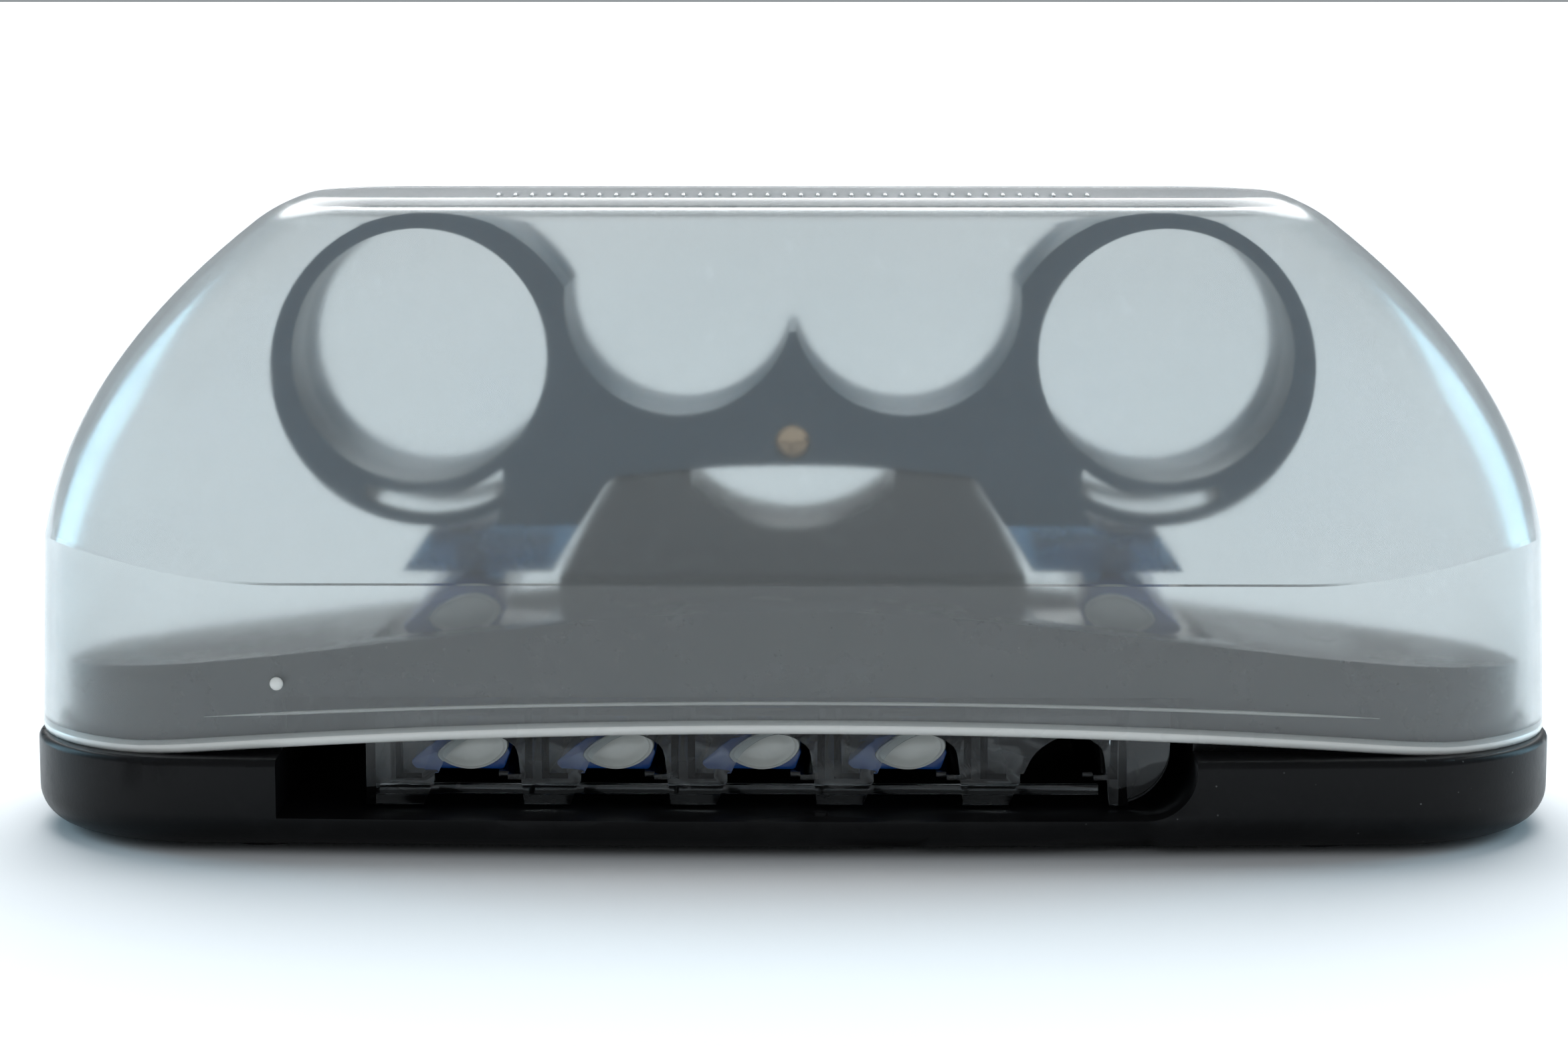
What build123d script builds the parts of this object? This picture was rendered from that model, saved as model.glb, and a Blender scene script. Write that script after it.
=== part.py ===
"""Razor storage case: a black base with a cradle, a frosted lift-off lid, a knuckle-grip
razor with two pivoting cartridges, and a clear drawer of refill cartridges.

Millimetres. +Z is up, the front faces -Y, +X is to the right. The origin lies at the
middle of the case, on the surface that it stands on.
"""

import os
from math import radians, tan

from build123d import *

# Case, outside
CASE_HALF_WIDTH = 85.3
BASE_FRONT = -38.5
BASE_FRONT_BOW = 3.0
BASE_BACK = 33.0
BASE_BOTTOM = 0.6
BASE_RIM = 10.6
BASE_FLOOR = 3.0
FRONT_CORNER = 21.0
BACK_CORNER = 42.0

# Lid: one row per level, as height, half width, front, back, front and back corner radius
LID_LEVELS = [
    (11.0, 85.1, -34.4, 32.4, 20.6, 42.0),
    (31.0, 84.5, -33.8, 31.8, 20.6, 42.0),
    (44.0, 80.9, -28.4, 27.2, 19.0, 32.0),
    (57.0, 72.2, -21.8, 20.6, 15.0, 22.0),
    (70.0, 57.4, -15.6, 14.0, 11.0, 13.0),
]
LID_WALL = 1.4
LID_EDGE_RISE = 2.6
LID_EDGE_HALF_SPAN = 72.0
LID_TOP_ROUND = 3.0
LID_BEAD_RADIUS = 0.4
LID_BEAD_HEIGHT = 16.2
LID_BEAD_HALF_LENGTH = 59.0

# Cradle deck, inside the lid
DECK_HALF_WIDTH = 82.3
DECK_FRONT = -31.6
DECK_BACK = 29.6
DECK_CROWN = 26.1
DECK_SHOULDER = 20.6
DECK_END = 19.3
DECK_SHOULDER_X = 62.0
DECK_WALL = 1.8
DECK_BOTTOM = 4.0
DECK_FALL = 4.5
SEAT_GAP = 0.1

# Drawer bay in the front of the base
BAY_LEFT = -55.8
BAY_RIGHT = 43.9
BAY_BACK = 11.0
BAY_FLOOR = 4.2
BAY_ROOF = 16.6
BAY_WALL = 1.2
BAY_END_ROUND = 5.4

# Wells for the razor's cartridges
HEAD_X = 37.2
CARTRIDGE_Z = 23.7
WELL_HALF_WIDTH = 10.0
WELL_HALF_DEPTH = 22.6
WELL_ROUND = 3.0

# Saddle between the wells, under the handle's arch
SADDLE_FOOT = 26.7
SADDLE_SHOULDER = 23.8
SADDLE_TOP = 20.4
SADDLE_TOP_FALL = 1.35
SADDLE_HALF_DEPTH = 10.5
NOTCH_HALF_WIDTH = 11.5
NOTCH_SHOULDER = 36.6
NOTCH_BOTTOM = 31.9

# Razor handle, seen from the front
RING_X = 41.2
RING_Z = 50.4
RING_OUTER = 17.9
FINGER_X = 42.25
FINGER_Z = 51.9
FINGER_RADIUS = 14.4
RING_WALL = 1.55
CRESCENT_OUTER = 16.6
CRESCENT_LEFT = 33.0
CRESCENT_RIGHT = 48.5
REST_X = 12.9
REST_RADIUS = 13.0
REST_Z = 58.1
PEAK_Z = 54.6
ARCH_Z = 39.3
ARCH_RADIUS = 162.0
HANDLE_HALF_DEPTH = 12.5
HANDLE_WAIST_HALF_DEPTH = 10.5
ARM_FOOT_Z = 32.4
ARM_INNER_X = 24.3
ARM_OUTER_X = 34.0
ARM_ROUND = 2.5
LIP_INNER_Y = 9.2

# Cartridge, with its long axis along Y
CARTRIDGE_HALF_LENGTH = 20.5
CAP_THICKNESS = 1.2
CAP_HALF_WIDTH = 4.05
CAP_HALF_HEIGHT = 2.2
CAP_TILT = 8.0
CAP_OFFSET = 0.5
BLADE_HALF_LENGTH = 17.0
BLADE_COUNT = 3
BLADE_PITCH = 1.5
BLADE_ROOF = -1.2
HUB_TOP = 3.0
HUB_HALF_WIDTH = 1.0
HUB_HALF_LENGTH = 3.2

# Pivot of each razor cartridge, a pin along Y
PIVOT_Z = 28.0
PIN_RADIUS = 0.8
PIN_CLEARANCE = 0.05
LUG_RADIUS = 1.65
EAR_Y = 6.6
EAR_THICKNESS = 1.2
CARRIER_HALF_LENGTH = 8.6
CARRIER_END_WALL = 1.0
CARRIER_CEILING = 29.95
SPRING_GAP = 0.3

# Refill drawer
TRAY_LEFT = -46.5
TRAY_RIGHT = 36.8
TRAY_FRONT = -32.6
TRAY_BACK = 10.7
TRAY_BOTTOM = 4.8
TRAY_TOP = 15.6
TRAY_TAB_RIGHT = 41.3
TRAY_RAIL_RIGHT = 33.6
SLOT_COUNT = 5
SLOT_PITCH = 16.0
SLOT_FIRST_X = -35.5
TRAY_PLATE = 1.0
TRAY_RIB = 0.8
TRAY_LEDGE_Z = 8.2
REFILL_Z = 10.5
REFILL_Y = -10.7

# Fasteners and feet
SCREW_X = 70.0
SCREW_Y = 11.0
BOSS_RADIUS = 3.2
FOOT_X = 58.0
FOOT_FRONT_Y = -27.0
FOOT_BACK_Y = 22.0
FOOT_RADIUS = 5.0
CENTRE_SCREW_Z = 41.9

os.makedirs("parts", exist_ok=True)


def plan(half_width, front, back, front_radius, back_radius, bow=0.0):
    """D-shaped outline seen from above; bow is how far the front's middle stands out."""
    corner_y = front + bow
    with BuildSketch() as outline:
        with BuildLine():
            if bow:
                ThreePointArc((-half_width, corner_y), (0, front), (half_width, corner_y))
            else:
                Line((-half_width, corner_y), (half_width, corner_y))
            Polyline(
                (half_width, corner_y),
                (half_width, back),
                (-half_width, back),
                (-half_width, corner_y),
            )
        make_face()
        fillet(outline.vertices().group_by(Axis.Y)[0], front_radius)
        fillet(outline.vertices().group_by(Axis.Y)[-1], back_radius)
    return outline.sketch


def save(part, name):
    """Labels a finished piece and writes its STEP file."""
    part.label = name
    export_step(part, f"parts/{name}.step")


def deck_profile(drop):
    """Region under the deck's arched top, seen from the front, lowered by drop."""
    shoulder = DECK_SHOULDER - drop
    end = DECK_END - drop
    with BuildSketch() as region:
        with BuildLine():
            top = Spline(
                (-90, end),
                (-DECK_SHOULDER_X, shoulder),
                (0, DECK_CROWN - drop),
                (DECK_SHOULDER_X, shoulder),
                (90, end),
            )
            Polyline(top @ 1, (90, 0), (-90, 0), top @ 0)
        make_face()
    return region.sketch


def deck_top(drop):
    """Solid under the deck's top, which falls by DECK_FALL degrees towards the back."""
    with BuildPart() as under:
        with BuildSketch(Plane.XZ.offset(-DECK_FRONT)):
            add(deck_profile(drop))
        extrude(amount=80, dir=(0, 1, -tan(radians(DECK_FALL))))
    return under.part


def bay_box(wall):
    """Size and centre of the drawer bay, grown by wall at its ends, back and roof."""
    low = (BAY_LEFT - wall, BASE_FRONT - 10, BAY_FLOOR)
    high = (BAY_RIGHT + wall, BAY_BACK + wall, BAY_ROOF + wall)
    size = tuple(h - l for l, h in zip(low, high))
    centre = tuple((h + l) / 2 for l, h in zip(low, high))
    return size, centre


# ---------------------------------------------------------------- base shell
bay_size, bay_centre = bay_box(0)
bay_outer_size, bay_outer_centre = bay_box(BAY_WALL)
screw_spots = GridLocations(2 * SCREW_X, 2 * SCREW_Y, 2, 2).locations
foot_spots = Locations(
    (-FOOT_X, FOOT_FRONT_Y), (FOOT_X, FOOT_FRONT_Y), (-FOOT_X, FOOT_BACK_Y), (FOOT_X, FOOT_BACK_Y)
).locations

with BuildPart() as base_shell:
    with BuildSketch(Plane.XY.offset(BASE_BOTTOM)):
        add(plan(CASE_HALF_WIDTH, BASE_FRONT, BASE_BACK, FRONT_CORNER, BACK_CORNER, BASE_FRONT_BOW))
    extrude(amount=BASE_RIM - BASE_BOTTOM)
    fillet(base_shell.faces().sort_by(Axis.Z)[0].edges(), 4.0)
    fillet(base_shell.faces().sort_by(Axis.Z)[-1].edges(), 0.8)
    # Hollow for the deck's skirt, which leaves the bay's walls and floor standing
    with BuildPart(mode=Mode.PRIVATE) as hollow:
        with BuildSketch(Plane.XY.offset(BASE_FLOOR)):
            add(plan(DECK_HALF_WIDTH + SEAT_GAP, DECK_FRONT - SEAT_GAP, DECK_BACK + SEAT_GAP,
                     FRONT_CORNER - 2.6, BACK_CORNER - 2))
        extrude(amount=BASE_RIM)
        with Locations(bay_outer_centre):
            Box(*bay_outer_size, mode=Mode.SUBTRACT)
        with Locations((bay_outer_centre[0], bay_outer_centre[1], BAY_FLOOR / 2)):
            Box(bay_outer_size[0], bay_outer_size[1], BAY_FLOOR, mode=Mode.SUBTRACT)
    add(hollow.part, mode=Mode.SUBTRACT)
    # The bay, open to the front, with a rounded lower corner at its right end
    with BuildSketch(Plane.XZ.offset(-BAY_BACK)) as bay_mouth:
        with BuildLine():
            Polyline(
                (BAY_LEFT, BAY_FLOOR),
                (BAY_RIGHT, BAY_FLOOR),
                (BAY_RIGHT, BAY_ROOF),
                (BAY_LEFT, BAY_ROOF),
                close=True,
            )
        make_face()
        corner = bay_mouth.vertices().sort_by(Axis.X)[-2:].sort_by(Axis.Y)[0]
        fillet(corner, BAY_END_ROUND)
    extrude(amount=BAY_BACK - BASE_FRONT + 5, mode=Mode.SUBTRACT)
    # Detent bump on the sill
    with BuildSketch(Plane.XY.offset(BAY_FLOOR)):
        with Locations((3.2, -35.0)):
            Circle(0.8)
    extrude(amount=0.4)
    # Screw holes and foot recesses in the underside
    with BuildSketch(Plane.XY.offset(BASE_BOTTOM)):
        with Locations(*screw_spots):
            Circle(1.6)
    extrude(amount=BASE_RIM, mode=Mode.SUBTRACT)
    with BuildSketch(Plane.XY.offset(BASE_BOTTOM)):
        with Locations(*screw_spots):
            Circle(3.0)
    extrude(amount=1.4, mode=Mode.SUBTRACT)
    with BuildSketch(Plane.XY.offset(BASE_BOTTOM)):
        with Locations(*foot_spots):
            Circle(FOOT_RADIUS)
    extrude(amount=1.0, mode=Mode.SUBTRACT)
save(base_shell.part, "base_shell")

# --------------------------------------------------------------- rubber feet
with BuildPart() as rubber_feet:
    with BuildSketch():
        with Locations(*foot_spots):
            Circle(FOOT_RADIUS)
    extrude(amount=BASE_BOTTOM + 1.0)
    fillet(rubber_feet.edges().group_by(Axis.Z)[0], 0.4)
save(rubber_feet.part, "rubber_feet")

# --------------------------------------------------------------- cradle deck
with BuildPart() as cradle_deck:
    with BuildSketch(Plane.XY.offset(DECK_BOTTOM)):
        add(plan(DECK_HALF_WIDTH, DECK_FRONT, DECK_BACK, FRONT_CORNER - 2.6, BACK_CORNER - 2))
    extrude(amount=40)
    add(deck_top(0), mode=Mode.INTERSECT)
    # Hollow underneath, round the bay and the wells
    with BuildPart(mode=Mode.PRIVATE) as hollow:
        with BuildSketch(Plane.XY):
            add(plan(DECK_HALF_WIDTH - DECK_WALL, DECK_FRONT + DECK_WALL, DECK_BACK - DECK_WALL,
                     FRONT_CORNER - 2.6 - DECK_WALL, BACK_CORNER - 2 - DECK_WALL))
        extrude(amount=40)
        add(deck_top(DECK_WALL), mode=Mode.INTERSECT)
        with Locations(bay_outer_centre):
            Box(*bay_outer_size, mode=Mode.SUBTRACT)
        with Locations((-HEAD_X, 0, BAY_ROOF + 10), (HEAD_X, 0, BAY_ROOF + 10)):
            Box(2 * WELL_HALF_WIDTH + 2 * BAY_WALL, 2 * WELL_HALF_DEPTH + 2 * BAY_WALL, 20,
                mode=Mode.SUBTRACT)
        with Locations(*screw_spots):
            Cylinder(BOSS_RADIUS, 100, mode=Mode.SUBTRACT)
    add(hollow.part, mode=Mode.SUBTRACT)
    # Below the rim the base shell carries the bay's walls
    with Locations((bay_outer_centre[0], bay_outer_centre[1], 0)):
        Box(bay_outer_size[0] + 2 * SEAT_GAP, bay_outer_size[1] + 2 * SEAT_GAP, 2 * BASE_RIM,
            mode=Mode.SUBTRACT)
    with Locations(bay_centre):
        Box(*bay_size, mode=Mode.SUBTRACT)
    # Wells for the cartridges
    with BuildSketch(Plane.XY.offset(BAY_ROOF + BAY_WALL)):
        with Locations((-HEAD_X, 0), (HEAD_X, 0)):
            RectangleRounded(2 * WELL_HALF_WIDTH, 2 * WELL_HALF_DEPTH, WELL_ROUND)
    extrude(amount=20, mode=Mode.SUBTRACT)
    # Saddle that carries the handle's arch, with a notch to lift the razor by
    with BuildSketch(Plane.XZ.offset(-SADDLE_HALF_DEPTH)) as saddle:
        with BuildLine():
            saddle_top = ARCH_Z - 0.35
            Polyline(
                (-SADDLE_FOOT, 21.0), (SADDLE_FOOT, 21.0), (SADDLE_FOOT, 26.4),
                (SADDLE_SHOULDER, 32.0), (SADDLE_TOP, saddle_top - SADDLE_TOP_FALL),
            )
            ThreePointArc(
                (SADDLE_TOP, saddle_top - SADDLE_TOP_FALL), (0, saddle_top),
                (-SADDLE_TOP, saddle_top - SADDLE_TOP_FALL),
            )
            Polyline(
                (-SADDLE_TOP, saddle_top - SADDLE_TOP_FALL), (-SADDLE_SHOULDER, 32.0),
                (-SADDLE_FOOT, 26.4), (-SADDLE_FOOT, 21.0),
            )
        make_face()
        with BuildLine():
            ThreePointArc(
                (-NOTCH_HALF_WIDTH, NOTCH_SHOULDER), (0, NOTCH_BOTTOM),
                (NOTCH_HALF_WIDTH, NOTCH_SHOULDER),
            )
            Polyline(
                (NOTCH_HALF_WIDTH, NOTCH_SHOULDER), (NOTCH_HALF_WIDTH, saddle_top + 1),
                (-NOTCH_HALF_WIDTH, saddle_top + 1), (-NOTCH_HALF_WIDTH, NOTCH_SHOULDER),
            )
        make_face(mode=Mode.SUBTRACT)
        fillet(saddle.vertices().group_by(Axis.Y)[-1], 0.5)
    extrude(amount=2 * SADDLE_HALF_DEPTH)
    # Feet of the bosses that take the base screws
    with BuildSketch(Plane.XY.offset(BASE_FLOOR + SEAT_GAP)):
        with Locations(*screw_spots):
            Circle(BOSS_RADIUS)
    extrude(amount=DECK_BOTTOM - BASE_FLOOR)
    with BuildSketch(Plane.XY):
        with Locations(*screw_spots):
            Circle(1.3)
    extrude(amount=13, mode=Mode.SUBTRACT)
save(cradle_deck.part, "cradle_deck")

# --------------------------------------------------------------- base screws
with BuildPart() as base_screws:
    with BuildSketch(Plane.XY.offset(BASE_BOTTOM + 0.2)):
        with Locations(*screw_spots):
            Circle(2.7)
    extrude(amount=1.2)
    with BuildSketch(Plane.XY.offset(BASE_BOTTOM + 0.2)):
        with Locations(*screw_spots):
            RegularPolygon(1.0, 6)
    extrude(amount=0.8, mode=Mode.SUBTRACT)
    with BuildSketch(Plane.XY.offset(BASE_BOTTOM + 1.4)):
        with Locations(*screw_spots):
            Circle(1.3)
    extrude(amount=10)
save(base_screws.part, "base_screws")


# ----------------------------------------------------------------------- lid
def lid_body(inset):
    """Skirt and dome through the lid's levels, every wall moved in by inset."""
    with BuildPart() as body:
        for low, high in ((0, 2), (1, len(LID_LEVELS))):
            for height, half_width, front, back, front_radius, back_radius in LID_LEVELS[low:high]:
                drop = inset if height == LID_LEVELS[-1][0] else 0.0
                with BuildSketch(Plane.XY.offset(height - drop)):
                    add(plan(half_width - inset, front + inset, back - inset,
                             front_radius - inset, back_radius - inset))
            loft()
    return body.part


with BuildPart() as lid:
    add(lid_body(0))
    fillet(lid.faces().sort_by(Axis.Z)[-1].edges(), LID_TOP_ROUND)
    with BuildPart(mode=Mode.PRIVATE) as cavity:
        add(lid_body(LID_WALL))
        fillet(cavity.faces().sort_by(Axis.Z)[-1].edges(), LID_TOP_ROUND - LID_WALL)
    add(cavity.part, mode=Mode.SUBTRACT)
    # Bead inside the skirt's front, which clicks over the deck
    bead_front = LID_LEVELS[0][2] + LID_WALL + 0.1
    with Locations((0, bead_front, LID_BEAD_HEIGHT)):
        Cylinder(LID_BEAD_RADIUS, 2 * LID_BEAD_HALF_LENGTH, rotation=(0, 90, 0))
    # The lower edge arches up between the corners
    edge_z = LID_LEVELS[0][0]
    with BuildSketch(Plane.XZ.offset(-60)):
        with BuildLine():
            ThreePointArc(
                (-LID_EDGE_HALF_SPAN, edge_z), (0, edge_z + LID_EDGE_RISE), (LID_EDGE_HALF_SPAN, edge_z)
            )
            Line((LID_EDGE_HALF_SPAN, edge_z), (-LID_EDGE_HALF_SPAN, edge_z))
        make_face()
    extrude(amount=120, mode=Mode.SUBTRACT)
save(lid.part, "lid")

# -------------------------------------------------------------- razor handle
with BuildSketch() as handle_outline:
    with Locations((0, (ARCH_Z + PEAK_Z) / 2 - 2)):
        Rectangle(2 * RING_X, PEAK_Z - ARCH_Z + 4)
    with Locations((0, ARCH_Z - ARCH_RADIUS)):
        Circle(ARCH_RADIUS, mode=Mode.SUBTRACT)
    with Locations((-RING_X, RING_Z), (RING_X, RING_Z)):
        Circle(RING_OUTER)
    for side in (-1, 1):
        with BuildLine():
            Polyline(
                (side * 20.5, 38.6), (side * ARM_INNER_X, ARM_FOOT_Z),
                (side * ARM_OUTER_X, ARM_FOOT_Z), (side * 31.0, 41.0), close=True,
            )
        make_face()
    with Locations((-REST_X, REST_Z), (REST_X, REST_Z)):
        Circle(REST_RADIUS, mode=Mode.SUBTRACT)
    with Locations((-FINGER_X, FINGER_Z), (FINGER_X, FINGER_Z)):
        Circle(FINGER_RADIUS, mode=Mode.SUBTRACT)
    # Crescent gap between each ring's wall and the band below it
    with BuildSketch(mode=Mode.PRIVATE) as crescents:
        with Locations((-RING_X, RING_Z), (RING_X, RING_Z)):
            Circle(CRESCENT_OUTER)
        with Locations((-FINGER_X, FINGER_Z), (FINGER_X, FINGER_Z)):
            Circle(FINGER_RADIUS + RING_WALL, mode=Mode.SUBTRACT)
        middle = (CRESCENT_LEFT + CRESCENT_RIGHT) / 2
        with BuildSketch(mode=Mode.PRIVATE) as window:
            with Locations((-middle, 35), (middle, 35)):
                Rectangle(CRESCENT_RIGHT - CRESCENT_LEFT, 12)
        add(window.sketch, mode=Mode.INTERSECT)
    add(crescents.sketch, mode=Mode.SUBTRACT)
    # Rounded corners where the arch meets the arms
    arch_corners = [v for v in handle_outline.vertices() if 19.0 < abs(v.X) < 22.5 and v.Y < 39.5]
    fillet(arch_corners, ARM_ROUND)

with BuildSketch() as handle_plan:
    with BuildLine():
        for side in (-1, 1):
            Line((side * 62, -HANDLE_HALF_DEPTH), (side * 62, HANDLE_HALF_DEPTH))
            ThreePointArc(
                (-62, side * HANDLE_HALF_DEPTH),
                (0, side * HANDLE_WAIST_HALF_DEPTH),
                (62, side * HANDLE_HALF_DEPTH),
            )
    make_face()

handle_halves = {}
for name, side in (("handle_front", -1), ("handle_back", 1)):
    with BuildPart() as handle:
        with BuildSketch(Plane.XZ.offset(-HANDLE_HALF_DEPTH - 1)):
            add(handle_outline.sketch)
        extrude(amount=2 * HANDLE_HALF_DEPTH + 2)
        with BuildSketch(Plane.XY):
            add(handle_plan.sketch)
        extrude(amount=100, mode=Mode.INTERSECT)
        with Locations((0, side * 30, 50)):
            Box(140, 60, 60, mode=Mode.INTERSECT)
        # Under the rings only a lip at each end is left
        with BuildSketch(Plane.XZ.offset(-LIP_INNER_Y)):
            with Locations((-RING_X, ARM_FOOT_Z), (RING_X, ARM_FOOT_Z)):
                Rectangle(2 * (RING_X - ARM_OUTER_X), 14)
            with Locations((-FINGER_X, FINGER_Z), (FINGER_X, FINGER_Z)):
                Circle(FINGER_RADIUS + RING_WALL, mode=Mode.SUBTRACT)
        extrude(amount=2 * LIP_INNER_Y, mode=Mode.SUBTRACT)
        # Hole for the screw that holds the halves together
        with Locations((0, 0, CENTRE_SCREW_Z)):
            Cylinder(1.1, 2 * 7.5, rotation=(90, 0, 0), mode=Mode.SUBTRACT)
        with Locations((0, -HANDLE_WAIST_HALF_DEPTH, CENTRE_SCREW_Z)):
            Cylinder(2.0, 2 * 4.0, rotation=(90, 0, 0), mode=Mode.SUBTRACT)
    handle_halves[name] = handle.part
    save(handle.part, name)

with BuildPart() as handle_screw:
    with Locations((0, -7.4, CENTRE_SCREW_Z)):
        Cylinder(1.9, 1.8, rotation=(90, 0, 0))
    with Locations((0, 0, CENTRE_SCREW_Z)):
        Cylinder(1.1, 2 * 7.0, rotation=(90, 0, 0))
    with Locations((0, -8.3, CENTRE_SCREW_Z)):
        Box(2.4, 1.2, 0.6, mode=Mode.SUBTRACT)
        Box(0.6, 1.2, 2.4, mode=Mode.SUBTRACT)
save(handle_screw.part, "handle_screw")


# ---------------------------------------------------------------- cartridges
def cartridge(name, x, y, z, facing):
    """Five pieces of one cartridge; facing 1 puts its thin guard edge towards -X."""

    def section(points):
        return [(x + facing * u, z + w) for u, w in points]

    def bar(low_u, high_u, low_w, high_w, mode):
        low_corner, high_corner = section([(low_u, low_w), (high_u, high_w)])
        middle = ((low_corner[0] + high_corner[0]) / 2, y, (low_corner[1] + high_corner[1]) / 2)
        with Locations(middle):
            Box(high_u - low_u, 2 * BLADE_HALF_LENGTH, high_w - low_w, mode=mode)

    with BuildPart() as housing:
        with BuildSketch(Plane.XZ.offset(-y)) as side_view:
            with BuildLine():
                Polyline(
                    *section([(-6.6, -1.5), (-5.9, -2.2), (3.9, -2.3), (4.6, -0.4), (3.6, 1.8),
                              (0.6, 2.4), (-3.2, 1.5)]),
                    close=True,
                )
            make_face()
            fillet(side_view.vertices(), 0.45)
        extrude(amount=CARTRIDGE_HALF_LENGTH - CAP_THICKNESS, both=True)
        bar(-3.7, 1.7, -3.0, BLADE_ROOF, Mode.SUBTRACT)
        bar(2.1, 3.3, -3.0, -1.7, Mode.SUBTRACT)
        bar(-5.4, -4.1, -3.0, -1.6, Mode.SUBTRACT)
        with Locations((x, y, z + HUB_TOP / 2 + 0.6)):
            Box(2 * HUB_HALF_WIDTH, 2 * HUB_HALF_LENGTH, HUB_TOP - 1.2)
    save(housing.part, f"{name}_housing")

    with BuildPart() as blades:
        for index in range(BLADE_COUNT):
            root = -2.4 + index * BLADE_PITCH
            with BuildSketch(Plane.XZ.offset(-y)):
                with BuildLine():
                    Polyline(
                        *section([(root, BLADE_ROOF), (root + 0.3, BLADE_ROOF), (root - 0.5, -2.35),
                                  (root - 0.7, -2.35)]),
                        close=True,
                    )
                make_face()
            extrude(amount=BLADE_HALF_LENGTH - 0.2, both=True)
    save(blades.part, f"{name}_blades")

    with BuildPart() as strip:
        bar(2.1, 3.3, -2.3, -1.7, Mode.ADD)
    save(strip.part, f"{name}_glide_strip")

    with BuildPart() as guard:
        bar(-5.4, -4.1, -2.2, -1.6, Mode.ADD)
    save(guard.part, f"{name}_guard")

    with BuildPart() as caps:
        for end in (-1, 1):
            inner = y + end * (CARTRIDGE_HALF_LENGTH - CAP_THICKNESS)
            with BuildSketch(Plane.XZ.offset(-inner)):
                with Locations((x + facing * CAP_OFFSET, z + 0.1)):
                    Ellipse(CAP_HALF_WIDTH, CAP_HALF_HEIGHT, rotation=facing * CAP_TILT)
            extrude(amount=-end * CAP_THICKNESS)
    save(caps.part, f"{name}_end_caps")


for index in range(SLOT_COUNT - 1):
    cartridge(f"refill_{index + 1}", SLOT_FIRST_X + index * SLOT_PITCH, REFILL_Y, REFILL_Z, 1)
cartridge("head_left", -HEAD_X, 0, CARTRIDGE_Z, 1)
cartridge("head_right", HEAD_X, 0, CARTRIDGE_Z, -1)

# ------------------------------------------- carriers, pivots and head clips
for name, side in (("left", -1), ("right", 1)):
    head_x = side * HEAD_X

    with BuildPart() as carrier:
        with BuildSketch(Plane.XZ):
            with BuildLine():
                Polyline(
                    (side * ARM_INNER_X, ARM_FOOT_Z), (side * ARM_OUTER_X, ARM_FOOT_Z),
                    (side * 36.5, 31.2), (side * 42.0, 31.0), (side * 44.9, 26.8),
                    (side * 27.6, 26.8), close=True,
                )
            make_face()
        extrude(amount=CARRIER_HALF_LENGTH, both=True)
        # Pocket that the clip swings in, open below
        with BuildSketch(Plane.XZ):
            with BuildLine():
                Polyline(
                    (side * 27.8, CARRIER_CEILING), (side * 41.4, CARRIER_CEILING),
                    (side * 43.6, 26.0), (side * 29.6, 26.0), close=True,
                )
            make_face()
        extrude(amount=CARRIER_HALF_LENGTH - CARRIER_END_WALL, both=True, mode=Mode.SUBTRACT)
        for ear_y in (-EAR_Y, EAR_Y):
            with BuildSketch(Plane.XZ.offset(-ear_y)):
                with Locations((head_x, PIVOT_Z)):
                    Circle(LUG_RADIUS)
                with Locations((head_x, (PIVOT_Z + CARRIER_CEILING) / 2)):
                    Rectangle(2 * LUG_RADIUS, CARRIER_CEILING - PIVOT_Z)
                with Locations((head_x, PIVOT_Z)):
                    Circle(PIN_RADIUS, mode=Mode.SUBTRACT)
            extrude(amount=EAR_THICKNESS / 2, both=True)
    save(carrier.part, f"carrier_{name}")

    with BuildPart() as pivot_pin:
        with Locations((head_x, 0, PIVOT_Z)):
            Cylinder(PIN_RADIUS, 2 * EAR_Y + EAR_THICKNESS + 0.4, rotation=(90, 0, 0))
        chamfer(pivot_pin.edges().filter_by(GeomType.CIRCLE), 0.2)
    save(pivot_pin.part, f"pivot_pin_{name}")

    with BuildPart() as head_clip:
        with BuildSketch(Plane.XZ):
            with Locations((head_x, PIVOT_Z)):
                Circle(LUG_RADIUS)
            with Locations((head_x, (PIVOT_Z + CARTRIDGE_Z + 2.5) / 2)):
                Rectangle(2 * LUG_RADIUS, PIVOT_Z - CARTRIDGE_Z - 2.5)
            with Locations((head_x, PIVOT_Z)):
                Circle(PIN_RADIUS + PIN_CLEARANCE, mode=Mode.SUBTRACT)
        extrude(amount=HUB_HALF_LENGTH + 1, both=True)
        with Locations((head_x, 0, CARTRIDGE_Z + HUB_TOP - 5)):
            Box(2 * HUB_HALF_WIDTH, 2 * HUB_HALF_LENGTH, 10, mode=Mode.SUBTRACT)
    save(head_clip.part, f"head_clip_{name}")

    with BuildPart() as return_spring:
        spring_start = HUB_HALF_LENGTH + 1 + SPRING_GAP
        spring_end = EAR_Y - EAR_THICKNESS / 2 - 0.1
        with BuildSketch(Plane.XZ.offset(-spring_start)):
            with Locations((head_x, PIVOT_Z)):
                Circle(LUG_RADIUS)
                Circle(1.0, mode=Mode.SUBTRACT)
        extrude(amount=spring_start - spring_end)
    save(return_spring.part, f"return_spring_{name}")

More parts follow.
